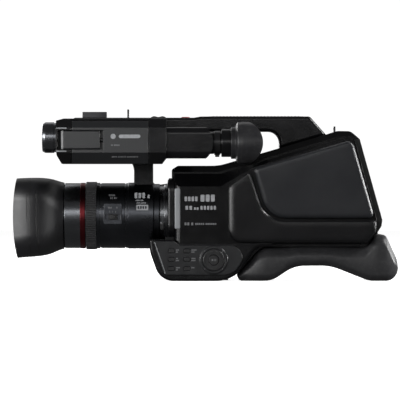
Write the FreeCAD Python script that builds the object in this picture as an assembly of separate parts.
# Shoulder-mount camcorder, modelled in millimetres.
# The origin is the mouth of the tripod socket in the base. +Z is up, -X is the way the lens
# looks, and -Y is the operator's left, which carries the monitor, viewfinder and controls.
import FreeCAD, Part
import math
import os
from FreeCAD import Placement, Rotation, Vector

# ---------------------------------------------------------------- driving dimensions
WALL = 3.0              # moulded casing wall
GAP = 0.3               # clearance between pieces that move past each other

AXIS_Z = 76.0           # height of the optical axis
BARREL_R = 38.3         # outside of the lens barrel
BORE_R = 34.0           # inside of the lens barrel
SEAT_R = 36.5           # seat that the focus ring turns on
LENS_R = 31.0           # glass of the front and zoom groups
MOUNT_R = 29.0          # throat of the lens mount
HOOD_FRONT = -218.0
HOOD_REAR = -160.0
RED_RING_X = (-140.4, -134.6)
FOCUS_RING_X = (-134.3, -121.2)
REAR_BARREL_X = (-84.5, -47.2)
BEZEL_X = (-38.0, -30.0)

BODY_HALF = 50.0        # half width of the main casing
BODY_BOTTOM = 44.0
LID_HALF = 40.0
SIDE_Y = -60.0          # outer face of the side cover
STOCK_Y = -59.0         # outer face of the large stock cover
REAR_TOP = Vector(186.0, 0, 166.0)
REAR_FOOT = Vector(212.5, 0, 71.0)

BASE_Y = (-56.0, 48.0)
PANEL_Y = -58.0         # face of the control panel
DIAL = (16.0, 24.6)     # x, z of the jog dial
DIAL_R = 12.8
DIAL_BORE_R = 6.3       # the push button sits in this
BUTTON_COLUMNS = (-33.0, -15.0)
BUTTON_ROWS = (35.2, 25.4, 14.6)
BUTTON_SIZE = (7.2, 4.4)
PAD_HALF = 51.0

HANDLE_HALF = 17.0
HANDLE_TOP = 192.6
HANDLE_UNDER = 174.8
DECK_Z = 191.2          # top deck in front of the hand grip
HEAD_LEFT = -80.0       # outer face of the monitor and its housing
HEAD_BACK = -66.0       # wall behind the folded monitor
HEAD_BOTTOM = 136.5
MONITOR_X = (-148.3, -60.0)
HINGE = (-158.0, -75.8)  # x, y of the monitor's upright hinge
HINGE_R = 4.2
FINDER = (-58.0, 160.8)  # y, z of the viewfinder's axis
LIGHT = (-48.0, 167.1)   # y, z of the video light's axis

GRIP_Y = (50.0, 112.0)
GRIP_X = (-76.0, 33.2)
GRIP_Z = (48.0, 112.0)

# ---------------------------------------------------------------- shape helpers
PLANES = {
    "xz": (lambda u, v, w: Vector(u, w, v), Vector(0, 1, 0)),
    "xy": (lambda u, v, w: Vector(u, v, w), Vector(0, 0, 1)),
    "yz": (lambda u, v, w: Vector(w, u, v), Vector(1, 0, 0)),
}


def outline(corners, plane, level):
    """Closed wire through (u, v) or (u, v, radius) corners, on a plane at one level."""
    place = PLANES[plane][0]
    flat = [Vector(c[0], c[1], 0) for c in corners]
    stretches = []
    for i, corner in enumerate(corners):
        here, before, after = flat[i], flat[i - 1], flat[(i + 1) % len(flat)]
        radius = corner[2] if len(corner) > 2 else 0
        if not radius:
            stretches.append([here])
            continue
        back, ahead = (before - here).normalize(), (after - here).normalize()
        half = back.getAngle(ahead) / 2
        reach = radius / math.tan(half)
        middle = (back + ahead).normalize()
        crown = middle * (radius / math.sin(half) - radius)
        stretches.append([here + back * reach, here + crown, here + ahead * reach])
    edges = []
    for i, points in enumerate(stretches):
        points = [place(p.x, p.y, level) for p in points]
        first = stretches[(i + 1) % len(stretches)][0]
        following = place(first.x, first.y, level)
        if len(points) == 3:
            edges.append(Part.Arc(*points).toShape())
        if points[-1].distanceToPoint(following) > 1e-4:
            edges.append(Part.LineSegment(points[-1], following).toShape())
    return Part.Wire(edges)


def prism(corners, plane, low, high):
    """Straight solid over an outline, between two levels."""
    face = Part.Face(outline(corners, plane, low))
    return face.extrude(PLANES[plane][1] * (high - low))


def block(x, y, z, radius=0.0, along="y"):
    """Box over three spans; the edges that run along one axis can be rounded."""
    plane = {"x": "yz", "y": "xz", "z": "xy"}[along]
    spans = {"x": (y, z, x), "y": (x, z, y), "z": (x, y, z)}[along]
    (u0, u1), (v0, v1), (low, high) = spans
    corners = [(u0, v0, radius), (u1, v0, radius), (u1, v1, radius), (u0, v1, radius)]
    return prism(corners, plane, low, high)


def turned(profile, y=0.0, z=AXIS_Z):
    """Solid of revolution about a line along X; the profile holds (x, radius) corners."""
    corners = [(c[0], c[1] + z, *c[2:]) for c in profile]
    face = Part.Face(outline(corners, "xz", y))
    return face.revolve(Vector(0, y, z), Vector(1, 0, 0), 360)


def tube(x, inner, outer, y=0.0, z=AXIS_Z, ease=0.0):
    """Ring along X between two radii, with eased outer edges."""
    profile = [(x[0], inner), (x[1], inner), (x[1], outer, ease), (x[0], outer, ease)]
    return turned(profile, y, z)


def rod(radius, start, end):
    start, end = Vector(*start), Vector(*end)
    return Part.makeCylinder(radius, start.distanceToPoint(end), start, end - start)


def edges_at(shape, **levels):
    """Edges that lie wholly at the given x, y or z."""
    found = []
    for edge in shape.Edges:
        points = edge.discretize(7)
        if all(abs(getattr(p, a) - v) < 0.02 for a, v in levels.items() for p in points):
            found.append(edge)
    return found


def eased(shape, radius, **levels):
    """The shape with every edge at that level rounded."""
    return shape.makeFillet(radius, edges_at(shape, **levels))


def both_eased(shape, radius, sides):
    """The shape with the outline edges of its two side faces, at these y, rounded."""
    return shape.makeFillet(radius, edges_at(shape, y=sides[0]) + edges_at(shape, y=sides[1]))


def wedge_cutter(stations, edge_y):
    """Cutter that bevels a long upper edge; a station holds x, bevel foot, depth and top."""
    wires = []
    for x, foot, depth, top in stations:
        slope = depth / (top - foot)
        corners = [(edge_y - 20, foot), (edge_y, foot), (edge_y + depth, top),
                   (edge_y + depth + slope, top + 1.0), (edge_y - 20, top + 1.0)]
        wires.append(outline(corners, "yz", x))
    return Part.makeLoft(wires, True, True)


def mirrored(shape):
    return shape.mirror(Vector(0, 0, 0), Vector(0, 1, 0))


def glass(radius, x, bulge, y=0.0, z=AXIS_Z):
    """Lens with both faces domed by bulge, between two stations along X."""
    body = rod(radius, (x[0], y, z), (x[1], y, z))
    ball = (radius ** 2 + bulge ** 2) / (2 * bulge)
    front = Part.makeSphere(ball, Vector(x[0] + ball, y, z))
    back = Part.makeSphere(ball, Vector(x[1] - ball, y, z))
    return body.common(front).common(back)


# The rear face leans forward. Fittings on it are made upright at x = 0 and set on it here.
REAR_LEAN = math.degrees(math.atan2(REAR_FOOT.x - REAR_TOP.x, REAR_TOP.z - REAR_FOOT.z))
REAR_MIDDLE = (REAR_TOP + REAR_FOOT) * 0.5
ON_REAR = Placement(REAR_MIDDLE, Rotation(Vector(0, 1, 0), -REAR_LEAN))


def on_rear(shape):
    shape = shape.copy()
    shape.Placement = ON_REAR.multiply(shape.Placement)
    return shape


# ---------------------------------------------------------------- lens
HOOD_BOW_R = 276.0      # bow of the front edge, seen from the side
HOOD_SECTIONS = [       # x, half width, bottom, top, corner radius
    (HOOD_FRONT, 50.5, 26.4, 119.4, 26.0),
    (-203.0, 54.8, 27.4, 120.3, 27.0),
    (-190.0, 53.8, 28.4, 120.5, 28.0),
    (-177.0, 47.5, 30.6, 119.5, 31.0),
    (-166.0, 41.0, 35.0, 116.6, 37.0),
    (HOOD_REAR, 39.3, 36.8, 115.0, 39.0),
]
HOOD_SEAMS = [(-201.5, 69.0, 101.0), (-191.0, 48.0, 104.0)]     # x, bottom, top
SEAM = (0.7, 0.6)       # width and depth of a moulded seam


def hood_loft(shrink):
    wires = []
    for x, half, low, high, radius in HOOD_SECTIONS:
        half, low, high = half - shrink, low + shrink, high - shrink
        radius = radius - shrink
        corners = [(-half, low, radius), (half, low, radius), (half, high, radius), (-half, high, radius)]
        wires.append(outline(corners, "yz", x))
    return Part.makeLoft(wires, True, False)


def lens_hood():
    shell = hood_loft(0).cut(hood_loft(WALL)).cut(rod(36.0, (-162, 0, AXIS_Z), (-150, 0, AXIS_Z)))
    width, depth = SEAM
    skin = hood_loft(depth)
    for x, low, high in HOOD_SEAMS:
        shell = shell.cut(block((x - width / 2, x + width / 2), (-60, 60), (low, high)).cut(skin))
    middle = HOOD_FRONT + HOOD_BOW_R
    return shell.common(rod(HOOD_BOW_R, (middle, -70, AXIS_Z), (middle, 70, AXIS_Z)))


def front_barrel():
    shell = turned([
        (HOOD_REAR, BORE_R), (RED_RING_X[0], BORE_R), (RED_RING_X[0], BARREL_R),
        (HOOD_REAR + 1.5, BARREL_R, 0.6), (HOOD_REAR, BARREL_R - 1.5),
    ])
    retainer = tube((HOOD_REAR, RED_RING_X[0]), 30.2, BORE_R)
    seat = rod(LENS_R + 0.1, (-157, 0, AXIS_Z), (-145, 0, AXIS_Z))
    return shell.fuse(retainer.cut(seat)).removeSplitter()


RIBS = 90               # gripping ribs round the focus ring
RIB_PROFILE = ((0.0, 38.8), (0.15, 39.8), (0.6, 39.8), (0.75, 38.8))    # share of the pitch, radius


def focus_ring():
    """Rubber ring with a rib every few degrees, running on the lens barrel."""
    start, end = FOCUS_RING_X[0] + 0.6, FOCUS_RING_X[1] - GAP
    corners = []
    for i in range(RIBS):
        for share, radius in RIB_PROFILE:
            turn = 2 * math.pi * (i + share) / RIBS
            corners.append((radius * math.cos(turn), AXIS_Z + radius * math.sin(turn)))
    bore = rod(SEAT_R + 0.08, (start - 1, 0, AXIS_Z), (end + 1, 0, AXIS_Z))
    return prism(corners, "yz", start, end).cut(bore)


def mid_barrel():
    start, end = FOCUS_RING_X[1], REAR_BARREL_X[0]
    profile = [
        (RED_RING_X[1], BORE_R), (end, BORE_R), (end, BARREL_R), (-86.8, BARREL_R),
        (-86.8, 37.3), (-88.2, 37.3), (-88.2, BARREL_R), (-116.2, BARREL_R),
        (-116.2, 37.3), (-117.6, 37.3), (-117.6, BARREL_R + 0.4), (start, BARREL_R + 0.4),
        (start, SEAT_R), (RED_RING_X[1], SEAT_R),
    ]
    pad = block((-112.5, -91.5), (-39.2, -35.5), (66.5, 90.0), 1.5)
    slot = block((-111.0, -93.0), (-45.0, -36.2), (71.0, 78.0), 1.0)
    return turned(profile).fuse(pad).cut(slot)


def function_switch():
    base = block((-107.2, -96.8), (-38.4, -36.5), (71.4, 77.6), 0.8)
    knob = block((-104.5, -99.5), (-40.8, -38.4), (72.2, 76.8), 0.8)
    return base.fuse(knob)


def rear_barrel():
    start, end = REAR_BARREL_X
    return turned([
        (start, BORE_R), (-50.0, BORE_R), (-50.0, 30.0), (end, 30.0), (end, 37.4, 0.8),
        (-53.5, 37.4), (-54.5, 38.9, 0.5), (start, 38.9, 0.5),
    ])


def lens_mount_ring():
    return turned([
        (REAR_BARREL_X[1], MOUNT_R), (BEZEL_X[0], MOUNT_R), (BEZEL_X[0], 37.2), (-41.5, 37.2, 0.6),
        (-41.5, 35.4), (REAR_BARREL_X[1], 35.4, 0.6),
    ])


def front_bezel():
    plate = block(BEZEL_X, (-47.0, 47.0), (50.0, 120.0), 15.0, along="x")
    plate = eased(plate, 3.0, x=BEZEL_X[0])
    return plate.cut(rod(MOUNT_R, (BEZEL_X[0] - 1, 0, AXIS_Z), (BEZEL_X[1] + 1, 0, AXIS_Z)))


def image_sensor():
    holder = block((-26.8, -23.8), (-36.0, 36.0), (52.0, 108.0), 4.0, along="x")
    chip = block((-29.0, -26.8), (-9.0, 9.0), (AXIS_Z - 7, AXIS_Z + 7), 0.5, along="x")
    return holder.fuse(chip)


# ---------------------------------------------------------------- casing
BODY_CORNERS = [
    (-25.0, BODY_BOTTOM), (-30.0, 48.0), (-30.0, 125.0), (24.0, 125.0), (150.5, 162.3), (163.0, 166.0, 20.0),
    (180.0, 165.0, 3.0), (206.5, 69.4, 4.0), (206.0, 57.0, 3.0), (196.0, BODY_BOTTOM),
]
INSIDE_CORNERS = [      # the same casing, one wall in
    (-23.5, 47.0), (-27.0, 50.0), (-27.0, 122.0), (24.4, 122.0), (151.4, 159.3), (163.0, 162.6),
    (177.6, 161.9), (203.2, 69.6), (202.6, 58.6), (194.6, 47.0),
]
BODY_BEVEL = [          # deep at the front, slight behind
    (-40.0, 110.0, 10.0, 125.0), (24.0, 110.0, 10.0, 125.0),
    (62.0, 132.0, 6.0, 136.3), (150.0, 159.5, 4.0, 162.2), (200.0, 174.0, 4.0, 177.0),
]
LID_BEVEL = [
    (-40.0, 127.0, 9.0, 134.6), (22.0, 127.0, 9.0, 134.6),
    (150.0, 165.0, 8.0, 171.8), (160.0, 168.6, 8.0, 175.4), (200.0, 168.6, 8.0, 175.4),
]


BATTERY_HALF = (20.0, 28.0)     # half width and half height
BATTERY_DEPTH = 56.0
COVER_Z = (-50.0, -33.0)        # terminal cover on the rear face, along the lean
LATCH_Z = (31.0, 36.0)


def battery_bay():
    half, high = BATTERY_HALF
    half, high = half + GAP, high + GAP
    return on_rear(block((-BATTERY_DEPTH - 1, 2), (-half, half), (-high, high), 3.3, "x"))


def jack_bay():
    return on_rear(block((-14, 2), (-22.0, 22.0), COVER_Z, 2.0, "x"))


def body_left():
    shell = prism(BODY_CORNERS, "xz", -BODY_HALF, 0)
    shell = eased(shell, 7.0, x=-30.0, y=-BODY_HALF).cut(wedge_cutter(BODY_BEVEL, -BODY_HALF))
    deep = prism(INSIDE_CORNERS, "xz", -38.5, 0)
    wide = block((-22.0, 190.0), (-BODY_HALF + WALL, -38.5), (47.0, 105.0))
    shell = shell.cut(deep).cut(wide)
    shell = shell.cut(rod(30.0, (-31, 0, AXIS_Z), (-26, 0, AXIS_Z)))
    return shell.cut(battery_bay()).cut(jack_bay())


def body_right():
    shell = mirrored(body_left())
    for z in (54.2, 60.2):
        shell = shell.cut(block((114.0, 139.0), (46.0, 51.0), (z - 1.3, z + 1.3)))
    return shell


def top_cover():
    lid = prism([
        (-30.0, 120.4), (-33.0, 120.4), (-33.0, 130.0, 3.0), (-26.0, 134.5, 5.0), (22.0, 134.5, 60.0),
        (149.0, 171.5, 30.0), (160.0, 175.2, 20.0), (176.0, 175.0, 9.0), (186.0, 166.0),
        (180.0, 165.0), (163.0, 166.0, 20.0), (150.5, 162.3), (24.0, 125.0), (-30.0, 125.0),
    ], "xz", -LID_HALF, LID_HALF)
    bevel = wedge_cutter(LID_BEVEL, -LID_HALF)
    lid = lid.cut(bevel).cut(mirrored(bevel))
    hollow = prism([(-26.0, 124.0), (-26.0, 131.0), (22.0, 131.0), (120.0, 159.5), (120.0, 152.0),
                    (24.4, 124.0)], "xz", -34.0, 34.0)
    return lid.cut(hollow).cut(strap_eyelet(*REAR_EYELET))


def rear_panel():
    plate = prism([
        (180.4, 164.8), (186.0, 165.8), (212.5, 71.0, 5.0), (211.5, 64.0, 4.0),
        (207.0, 56.8, 1.0), (206.1, 57.2), (206.7, 69.4),
    ], "xz", -BODY_HALF, BODY_HALF)
    return plate.cut(battery_bay()).cut(jack_bay()).cut(latch_slot())


SIDE_CORNERS = [
    (33.5, 45.0, 15.0), (33.5, 111.5, 12.0), (57.5, 127.5, 3.0), (76.5, 70.4, 32.0),
    (205.4, 70.4, 2.0), (205.0, 57.5, 4.0), (194.0, 45.0, 2.0),
]
STOCK_CORNERS = [(62.0, 131.0, 4.0), (177.2, 164.6, 8.0), (203.6, 73.0, 6.0), (78.8, 73.0, 30.0)]


def side_cover_left():
    return eased(prism(SIDE_CORNERS, "xz", SIDE_Y, -BODY_HALF), 3.0, y=SIDE_Y)


def stock_cover_left():
    return eased(prism(STOCK_CORNERS, "xz", STOCK_Y, -BODY_HALF), 4.0, y=STOCK_Y)


CARD_X, CARD_Z = (110.0, 152.0), (49.0, 64.0)


def side_cover_right():
    """The right side's two covers, with a door's opening through the lower one."""
    covers = mirrored(side_cover_left())
    opening = block(CARD_X, (48.0, 62.0), CARD_Z, 2.0)
    return covers.cut(opening)


def stock_cover_right():
    return mirrored(stock_cover_left())


def card_door():
    x = (CARD_X[0] + GAP, CARD_X[1] - GAP)
    z = (CARD_Z[0] + GAP, CARD_Z[1] - GAP)
    leaf = block(x, (57.2, -SIDE_Y), z, 1.6)
    return leaf.fuse(block((x[0] + 2, x[1] - 2), (56.0, 57.2), (z[0] + 1, z[0] + 3)))


# ---------------------------------------------------------------- rear face fittings
def battery_pack():
    half, high = BATTERY_HALF
    pack = block((-BATTERY_DEPTH, 0.0), (-half, half), (-high, high), 3.0, "x")
    pack = eased(pack, 1.0, x=0.0)
    for side in (-1, 1):
        grip = block((-1.2, 1.0), (side * 13 - 4, side * 13 + 4), (high - 12, high - 4), 1.0, "x")
        pack = pack.cut(grip)
    return on_rear(pack)


def latch_slot():
    return on_rear(block((-3.6, 2), (-13.0, 13.0), (LATCH_Z[0] - GAP, LATCH_Z[1] + GAP), 0.0, "x"))


def battery_latch():
    tab = block((-3.2, 0.0), (-12.6, 7.4), LATCH_Z, 1.0, "x")
    rib = block((0.0, 1.4), (-7.5, 2.5), (LATCH_Z[0] + 1.2, LATCH_Z[1] - 1.2), 1.0, "x")
    return on_rear(tab.fuse(rib))


def terminal_cover():
    low, high = COVER_Z
    leaf = block((-2.0, 0.0), (-22.0 + GAP, 22.0 - GAP), (low + GAP, high - GAP), 1.8, "x")
    return on_rear(eased(leaf, 0.6, x=0.0))


def rear_jacks():
    low, high = COVER_Z
    middle = (low + high) / 2
    board = block((-13.5, -11.5), (-21.5, 21.5), (low + 0.5, high - 0.5), 1.0, "x")
    wide = block((-11.5, -4.5), (-19.0, -5.0), (middle - 3, middle + 3), 1.0, "x")
    wide = wide.cut(block((-10.0, -4.0), (-17.5, -6.5), (middle - 1.6, middle + 1.6), 0.5, "x"))
    small = block((-11.5, -4.5), (-2.0, 6.0), (middle - 2.5, middle + 2.5), 0.8, "x")
    small = small.cut(block((-10.0, -4.0), (-0.8, 4.8), (middle - 1.3, middle + 1.3), 0.4, "x"))
    shape = board.fuse(wide).fuse(small)
    for y in (10.5, 17.5):
        shape = shape.fuse(rod(3.0, (-11.5, y, middle), (-4.5, y, middle)))
        shape = shape.cut(rod(1.8, (-10.5, y, middle), (-4.0, y, middle)))
    return on_rear(shape)


# ---------------------------------------------------------------- base and shoulder pad
BASE_CORNERS = [
    (-59.5, 49.5, 3.5), (-58.0, 33.0, 30.0), (-46.2, 0.0, 22.0), (29.0, 0.0, 40.0),
    (41.5, 7.0, 4.0), (66.0, 40.6, 14.0), (84.0, 40.6), (84.0, 43.8), (-25.0, 43.8), (-30.2, 47.5),
]
PLATE_CORNERS = [       # plate between the body and the pad
    (80.0, 39.9), (192.5, 39.9), (195.6, 43.8), (80.0, 43.8),
]
WEB_CORNERS = [         # fills the cleft between the base and the pad
    (40.0, 8.0), (43.6, 8.0), (70.8, 40.0, 20.4), (84.0, 40.0), (84.0, 42.0), (60.0, 42.0), (38.0, 14.0),
]
PANEL_CORNERS = [
    (-55.0, 46.5, 2.0), (-41.2, 7.0, 6.0), (32.0, 7.0, 24.0), (41.0, 11.5, 2.0),
    (62.5, 41.6, 14.0), (-24.0, 41.6, 3.0), (-30.0, 46.5, 3.0),
]


def button_place(index):
    return BUTTON_COLUMNS[index // 3], BUTTON_ROWS[index % 3]


def button_prism(index, grow, y):
    x, z = button_place(index)
    wide, high = BUTTON_SIZE[0] / 2 + grow, BUTTON_SIZE[1] / 2 + grow
    return block((x - wide, x + wide), y, (z - high, z + high), 1.4 + grow)


def base_housing():
    """Hollow base with the controls on its left, and a tongue that carries the shoulder pad."""
    shell = prism(BASE_CORNERS, "xz", *BASE_Y)
    rims = [e for y in BASE_Y for e in edges_at(shell, y=y) if e.CenterOfMass.z < 42]
    shell = shell.makeFillet(3.0, rims)
    shell = shell.fuse(prism(PLATE_CORNERS, "xz", -44.0, 44.0))
    shell = shell.fuse(prism(WEB_CORNERS, "xz", -46.0, 42.0)).removeSplitter()
    inside = prism([(-52.0, 40.0), (-52.0, 30.0), (-41.0, 4.0, 12.0), (26.0, 4.0, 20.0), (52.0, 28.0),
                    (52.0, 40.0)], "xz", BASE_Y[0] + 4.0, BASE_Y[1] - 4.0)
    shell = shell.cut(inside).fuse(block((-24.0, 24.0), (-16.0, 16.0), (0.0, 12.0)))
    shell = shell.cut(rod(40.0, (-70, 0, AXIS_Z), (BEZEL_X[0] + 0.2, 0, AXIS_Z)))
    shell = shell.cut(insert_block())
    for x, y in SCREWS:
        shell = shell.cut(rod(SCREW_R + 0.2, (x, y, -1), (x, y, 3.0)))
    for index in range(6):
        shell = shell.cut(button_prism(index, 0.25, (BASE_Y[0] - 1, BASE_Y[0] + 2.5)))
    x, z = DIAL
    return shell.cut(rod(DIAL_BORE_R, (x, BASE_Y[0] - 1, z), (x, BASE_Y[0] + 2.5, z)))


def control_panel():
    panel = eased(prism(PANEL_CORNERS, "xz", PANEL_Y, BASE_Y[0]), 0.8, y=PANEL_Y)
    x, z = DIAL
    bezel = eased(rod(16.4, (x, PANEL_Y - 1.4, z), (x, BASE_Y[0], z)), 1.2, y=PANEL_Y - 1.4)
    panel = panel.fuse(bezel).cut(rod(DIAL_R + GAP, (x, -62, z), (x, -50, z)))
    for index in range(6):
        panel = panel.cut(button_prism(index, 0.25, (PANEL_Y - 3, BASE_Y[0] + 1)))
    return panel


def panel_button(index):
    return eased(button_prism(index, 0.0, (PANEL_Y - 0.9, BASE_Y[0] + 1.2)), 0.4, y=PANEL_Y - 0.9)


def jog_dial():
    x, z = DIAL
    ring = rod(DIAL_R, (x, PANEL_Y - 2.2, z), (x, BASE_Y[0] - 0.2, z))
    ring = eased(ring, 1.0, y=PANEL_Y - 2.2)
    return ring.cut(rod(DIAL_BORE_R, (x, PANEL_Y - 4, z), (x, BASE_Y[0] + 1, z)))


def dial_button():
    x, z = DIAL
    button = rod(DIAL_BORE_R - GAP, (x, PANEL_Y - 1.8, z), (x, BASE_Y[0] + 1.2, z))
    return eased(button, 0.7, y=PANEL_Y - 1.8)


def insert_block():
    return block((-20.0, 20.0), (-12.0, 12.0), (0.0, 8.0), 3.0, along="z")


SOCKET_R = 2.55         # tapping bore of a quarter-inch tripod thread
PIN_HOLE_R = 2.2        # hole for a tripod plate's locating pin
PIN_HOLE_X = 13.0


def tripod_insert():
    plate = insert_block().cut(rod(SOCKET_R, (0, 0, -1), (0, 0, 9)))
    return plate.cut(rod(PIN_HOLE_R, (PIN_HOLE_X, 0, -1), (PIN_HOLE_X, 0, 5)))


PAD_CORNERS = [
    (37.5, 0.0, 5.5), (84.0, 0.0, 30.0), (110.0, 17.4, 40.0), (152.0, 17.8, 60.0),
    (197.0, 0.0, 35.0), (231.0, 0.0, 14.0), (231.0, 24.0, 30.0), (216.5, 54.5, 7.0),
    (204.2, 53.2, 4.6), (193.5, 39.6, 3.0), (71.0, 39.6, 20.0),
]


def shoulder_pad():
    """Rubber shoulder rest, hollow above the arch and at its two feet."""
    pad = both_eased(prism(PAD_CORNERS, "xz", -PAD_HALF, PAD_HALF), 4.5, (-PAD_HALF, PAD_HALF))
    hollow = prism([(66.0, 8.0, 4.0), (82.0, 8.0, 30.0), (108.0, 25.0, 40.0), (150.0, 26.0, 50.0),
                    (180.0, 16.0, 20.0), (192.0, 16.0, 4.0), (192.0, 33.0, 4.0), (80.0, 33.0, 8.0)],
                   "xz", -PAD_HALF + 8.0, PAD_HALF - 8.0)
    way_in = block((90.0, 180.0), (-30.0, 30.0), (32.0, 41.0))
    return pad.cut(hollow).cut(way_in)


SCREW_R = 3.0
SCREWS = [(x, y) for x in (-30.0, 30.0) for y in (-30.0, 30.0)]


def base_screws():
    """Sunk cross-head screws that hold the base housing."""
    heads = []
    for x, y in SCREWS:
        head = rod(SCREW_R, (x, y, 0.6), (x, y, 3.0))
        head = head.cut(block((x - 2, x + 2), (y - 0.4, y + 0.4), (0.0, 1.6)))
        heads.append(head.cut(block((x - 0.4, x + 0.4), (y - 2, y + 2), (0.0, 1.6))))
    return Part.makeCompound(heads)


# ---------------------------------------------------------------- handle and head
def strap_eyelet(x, foot, top):
    """Fixed upright loop of flat metal for a shoulder strap, sunk in the surface it stands on."""
    loop = block((x - 1, x + 1), (-9.0, 9.0), (foot, top), 2.4, along="x")
    slot = block((x - 2, x + 2), (-6.8, 6.8), (foot + 3.2, top - 1.8), 0.8, along="x")
    return loop.cut(slot)


FRONT_EYELET = (-84.6, DECK_Z - 2.0, 201.0)
REAR_EYELET = (158.4, 172.2, 181.0)
SHOE_X = (-138.2, -110.0)
LEVER_X, LEVER_HALF = (-58.0, -40.0), 7.0
RECORD_TOP = (-17.0, 5.0)   # x and radius of the record button on the handle


def handle_frame():
    spine = prism([
        (-150.0, 142.0, 5.0), (-54.0, 142.0, 8.0), (-45.0, HANDLE_UNDER, 12.0),
        (93.0, HANDLE_UNDER, 13.0), (93.0, 155.2), (148.0, 171.23), (129.0, HANDLE_TOP, 5.0),
        (1.0, HANDLE_TOP, 8.0), (-7.0, DECK_Z, 8.0), (-150.0, DECK_Z, 4.0),
    ], "xz", -HANDLE_HALF, HANDLE_HALF)
    spine = both_eased(spine, 3.5, (-HANDLE_HALF, HANDLE_HALF))
    post = prism([(-77.5, 105.0), (-55.3, 105.0), (-55.3, 146.0), (-84.0, 146.0), (-77.5, 132.0, 20.0)],
                 "xz", -14.0, 14.0)
    post = post.cut(rod(38.96, (-100, 0, AXIS_Z), (-40, 0, AXIS_Z)))
    shape = spine.fuse(post).removeSplitter()
    half = LEVER_HALF + 0.4
    shape = shape.cut(block((LEVER_X[0] - 0.8, LEVER_X[1] + 0.8), (-half, half), (185.0, 200.0)))
    x, radius = RECORD_TOP
    shape = shape.cut(rod(radius + 0.25, (x, 0, 186.0), (x, 0, 200.0)))
    core = prism([(-38.0, 179.0, 2.0), (116.0, 179.0, 2.0), (122.0, 188.0, 2.0), (-38.0, 186.0, 2.0)],
                 "xz", -12.0, 12.0)
    leg = prism([(100.0, 157.0), (138.0, 168.0), (122.0, 185.0), (100.0, 185.0)], "xz", -12.0, 12.0)
    return shape.cut(strap_eyelet(*FRONT_EYELET)).cut(core).cut(leg)


def handle_zoom_lever():
    return prism([(LEVER_X[0], 187.2), (LEVER_X[1], 187.2), (LEVER_X[1], 192.0, 2.0),
                  (-44.0, 193.2, 3.0), (-49.0, 192.0, 6.0), (-54.0, 193.2, 3.0), (LEVER_X[0], 192.0, 2.0)],
                 "xz", -LEVER_HALF, LEVER_HALF)


def handle_rec_button():
    x, radius = RECORD_TOP
    return eased(rod(radius, (x, 0, 187.4), (x, 0, DECK_Z + 1.1)), 0.6, z=DECK_Z + 1.1)


def accessory_shoe():
    x = SHOE_X
    open_end = (x[0] - 1, x[1] - 2)
    shoe = block(x, (-12.0, 12.0), (DECK_Z, 198.0))
    shoe = shoe.cut(block(open_end, (-9.35, 9.35), (194.1, 196.3)))
    return shoe.cut(block(open_end, (-6.3, 6.3), (196.2, 199.0)))


def mic_grille():
    cover = eased(block((-156.0, -150.0), (-15.0, 15.0), (146.0, 186.0), 6.0, along="x"), 2.0, x=-156.0)
    for i in range(8):
        z = 150.4 + 4.5 * i
        cover = cover.cut(block((-157.0, -153.6), (-11.0, 11.0), (z - 0.9, z + 0.9), 0.6, along="x"))
    return cover


HEAD_SECTION = [
    (HEAD_LEFT, 149.0, 1.0), (-71.5, HEAD_BOTTOM, 2.0), (-HANDLE_HALF, HEAD_BOTTOM),
    (-HANDLE_HALF, 189.0), (-68.0, 189.0, 3.0), (HEAD_LEFT, 178.2, 1.0),
]


def head_housing():
    whole = prism(HEAD_SECTION, "yz", -167.0, -39.0)
    bay = block((-149.6, -59.0), (-90.0, HEAD_BACK), (130.0, 186.4))
    window = block((-165.3, -149.6), (-90.0, HEAD_BACK + 1.5), (152.6, 175.2))
    nose = prism([(-170.0, 130.0), (-160.5, 130.0), (-160.5, 136.5), (-166.0, 146.0, 6.0),
                  (-167.4, 160.0), (-170, 160)], "xz", -90, 0)
    brow = prism([(-170.0, 192.0), (-170.0, 185.6), (-156.0, 189.6), (-156.0, 192.0)], "xz", -90, 0)
    tail = prism([(-44.5, 130.0), (-44.5, 136.4), (-38.9, 143.6), (-30, 143.6), (-30, 130)], "xz", -90, 0)
    hollow = block((-146.0, -62.0), (HEAD_BACK + WALL, 0.0), (HEAD_BOTTOM + WALL, 186.0))
    return whole.cut(bay).cut(window).cut(nose).cut(brow).cut(tail).cut(hollow)


def light_barrel():
    y, z = LIGHT
    return turned([
        (-167.0, 3.0), (-167.0, 17.0), (-170.0, 17.0), (-170.0, 17.9), (-180.0, 17.9),
        (-183.6, 16.2, 1.5), (-183.6, 14.6), (-179.0, 14.6), (-171.0, 8.0), (-169.5, 8.0), (-169.5, 3.0),
    ], y, z)


def light_lens():
    y, z = LIGHT
    return rod(14.4, (-182.6, y, z), (-180.6, y, z))


def lcd_panel():
    panel = prism([
        (HEAD_LEFT, 149.0, 1.0), (-71.5, HEAD_BOTTOM, 2.0), (-67.0, HEAD_BOTTOM, 0.8),
        (-67.0, 185.8, 0.8), (-71.6, 185.8, 2.0), (HEAD_LEFT, 178.2, 1.0),
    ], "yz", *MONITOR_X)
    notch = block((-150.0, -112.0), (-85.0, -69.2), (152.6, 175.2))
    screen = block((-141.0, -65.0), (-67.8, -60.0), (139.5, 182.5), 1.0)
    return panel.cut(notch).cut(screen)


def lcd_screen():
    return block((-140.8, -65.2), (-67.8, -67.05), (139.7, 182.3), 0.8)


def lcd_hinge():
    x, y = HINGE
    z = (153.4, 174.4)
    barrel = rod(HINGE_R, (x, y, z[0]), (x, y, z[1]))
    arm = block((x, -116.0), (y - HINGE_R, -70.2), z, 1.2, along="x")
    pin = rod(2.0, (-116.0, -75.0, 163.9), (-112.0, -75.0, 163.9))
    return barrel.fuse(arm).fuse(pin)


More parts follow.
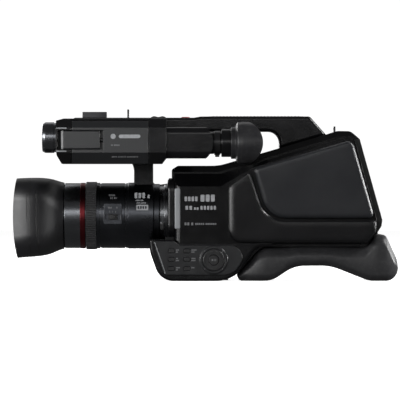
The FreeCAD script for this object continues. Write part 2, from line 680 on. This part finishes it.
# ---------------------------------------------------------------- viewfinder
def evf_tube():
    y, z = FINDER
    body = block((-39.0, 17.0), (y - 18.2, y + 18.0), (z - 18.1, z + 18.1), 8.0, along="x")
    nose = rod(23.4, (-8.0, y - 30, z), (-8.0, y + 30, z))
    rear = block((-8.0, 20.0), (y - 30, y + 30), (z - 30, z + 30))
    body = body.cut(rear.cut(nose))
    link = block((-39.0, -10.0), (y + 17.0, -HANDLE_HALF), (z - 8, HANDLE_UNDER + 4), 0)
    return body.fuse(link).cut(rod(13.0, (-45, y, z), (20, y, z)))


def eyepiece_tube():
    y, z = FINDER
    return turned([
        (-6.0, 10.2), (41.0, 10.2), (41.0, 16.4, 1.0), (24.8, 16.4, 1.0), (24.8, 12.6),
        (15.8, 12.6), (15.8, 12.9), (-6.0, 12.9),
    ], y, z)


def diopter_ring():
    y, z = FINDER
    ring = tube((16.6, 23.6), 12.7, 14.0, y, z, 0.4)
    return ring.fuse(block((17.6, 22.6), (y - 2.5, y + 2.5), (z - 16.4, z - 13.2), 0.8))


def eyepiece_lens():
    y, z = FINDER
    return glass(10.1, (30.0, 36.0), 1.4, y, z)


def eyecup():
    y, z = FINDER
    cup = turned([
        (36.0, 16.5), (50.0, 16.5), (56.0, 20.5), (74.0, 21.6), (74.0, 23.6),
        (50.0, 24.6, 3.0), (43.6, 24.0, 2.0), (41.2, 18.6), (36.0, 18.6, 0.8),
    ], y, z)
    wing = rod(26.5, (46.5, y - 40, z), (46.5, y + 40, z))
    rear = block((46.5, 80.0), (y - 40, y + 40), (z - 40, z + 40))
    return cup.cut(rear.cut(wing))


# ---------------------------------------------------------------- hand grip
ROCKER_X, ROCKER_Y = (-60.0, -36.0), (66.0, 80.0)
RECORD_REAR = (70.0, 86.0, 7.0)     # y, z and radius


def grip_housing():
    """Hollow grip for the right hand, open to the casing behind it."""
    (x0, x1), (z0, z1) = GRIP_X, GRIP_Z
    corners = [(x0, z0, 24.0), (x1, z0, 14.0), (x1, z1, 12.0), (x0, z1, 20.0)]
    shell = eased(prism(corners, "xz", *GRIP_Y), 10.0, y=GRIP_Y[1])
    inside = prism([(x0 + 5, z0 + 5, 18.0), (x1 - 6, z0 + 5, 9.0), (x1 - 6, z1 - 7, 6.0),
                    (x0 + 5, z1 - 7, 14.0)], "xz", GRIP_Y[0] + WALL, GRIP_Y[1] - 12)
    mouth = block((-24.0, x1 - 6), (GRIP_Y[0] - 1, GRIP_Y[0] + WALL + 1), (z0 + 8, z1 - 12), 4.0)
    pocket = block((ROCKER_X[0] - 0.8, ROCKER_X[1] + 0.8), (ROCKER_Y[0] - 0.4, ROCKER_Y[1] + 0.4),
                   (z1 - 5.5, z1 + 5))
    y, z, radius = RECORD_REAR
    recess = rod(radius + 0.3, (x1 - 4.4, y, z), (x1 + 1, y, z))
    return shell.cut(inside).cut(mouth).cut(pocket).cut(recess)


def zoom_rocker():
    (x0, x1), top = ROCKER_X, GRIP_Z[1]
    middle = (x0 + x1) / 2
    return prism([(x0, top - 3.2), (x1, top - 3.2), (x1, top + 2.6, 2.0), (middle, top + 0.8, 12.0),
                  (x0, top + 2.6, 2.0)], "xz", *ROCKER_Y)


def rec_button():
    y, z, radius = RECORD_REAR
    end = GRIP_X[1]
    return eased(rod(radius, (end - 3.2, y, z), (end + 1.6, y, z)), 0.8, x=end + 1.6)


STRAP_Z = (57.0, 103.0)
STRAP_THICK = 4.0


def strap_side(offset):
    """Corners of the strap's arch, seen from above, offset outwards from its inner face."""
    front, rear = GRIP_X[0] - offset, GRIP_X[1] + offset
    crown = 150.0 + offset
    turn, shoulder, arch = 12.0 + offset, 26.0 + offset, 76.0 + offset
    return [(front, 82.0), (front, 105.0, turn), (front + 13.0, crown - 9.0, shoulder), (-21.0, crown, arch),
            (rear - 13.0, crown - 9.0, shoulder), (rear, 105.0, turn), (rear, 84.0)]


def hand_strap():
    """Padded band that arches over the back of the hand, anchored at both ends of the grip."""
    return prism(strap_side(STRAP_THICK) + strap_side(0.0)[::-1], "xy", *STRAP_Z)


# ---------------------------------------------------------------- all nodes
NODES = {
    "lens_hood": lens_hood,
    "front_barrel": front_barrel,
    "front_lens": lambda: glass(LENS_R, (-156.9, -145.1), 4.0),
    "red_ring": lambda: tube(RED_RING_X, BORE_R, 38.7, ease=0.4),
    "focus_ring": focus_ring,
    "mid_barrel": mid_barrel,
    "function_switch": function_switch,
    "rear_barrel": rear_barrel,
    "zoom_lens": lambda: glass(LENS_R, (-111.0, -99.0), 3.5),
    "lens_mount_ring": lens_mount_ring,
    "front_bezel": front_bezel,
    "image_sensor": image_sensor,
    "body_left": body_left,
    "body_right": body_right,
    "top_cover": top_cover,
    "rear_panel": rear_panel,
    "side_cover_left": side_cover_left,
    "side_cover_right": side_cover_right,
    "stock_cover_left": stock_cover_left,
    "stock_cover_right": stock_cover_right,
    "card_door": card_door,
    "battery_pack": battery_pack,
    "battery_latch": battery_latch,
    "terminal_cover": terminal_cover,
    "rear_jacks": rear_jacks,
    "base_housing": base_housing,
    "control_panel": control_panel,
    "jog_dial": jog_dial,
    "dial_button": dial_button,
    "tripod_insert": tripod_insert,
    "shoulder_pad": shoulder_pad,
    "base_screws": base_screws,
    "handle_frame": handle_frame,
    "handle_zoom_lever": handle_zoom_lever,
    "handle_rec_button": handle_rec_button,
    "accessory_shoe": accessory_shoe,
    "mic_grille": mic_grille,
    "head_housing": head_housing,
    "light_barrel": light_barrel,
    "light_lens": light_lens,
    "lcd_panel": lcd_panel,
    "lcd_screen": lcd_screen,
    "lcd_hinge": lcd_hinge,
    "evf_tube": evf_tube,
    "eyepiece_tube": eyepiece_tube,
    "eyepiece_lens": eyepiece_lens,
    "diopter_ring": diopter_ring,
    "eyecup": eyecup,
    "grip_housing": grip_housing,
    "zoom_rocker": zoom_rocker,
    "rec_button": rec_button,
    "hand_strap": hand_strap,
    "strap_eyelet_front": lambda: strap_eyelet(*FRONT_EYELET),
    "strap_eyelet_rear": lambda: strap_eyelet(*REAR_EYELET),
}
for number in range(6):
    NODES[f"panel_button_{number + 1}"] = lambda number=number: panel_button(number)

if __name__ == "__main__":
    os.makedirs("parts", exist_ok=True)
    for name, make in NODES.items():
        solids = make().Solids
        shape = solids[0] if len(solids) == 1 else Part.makeCompound(solids)
        shape.exportStep(f"parts/{name}.step")
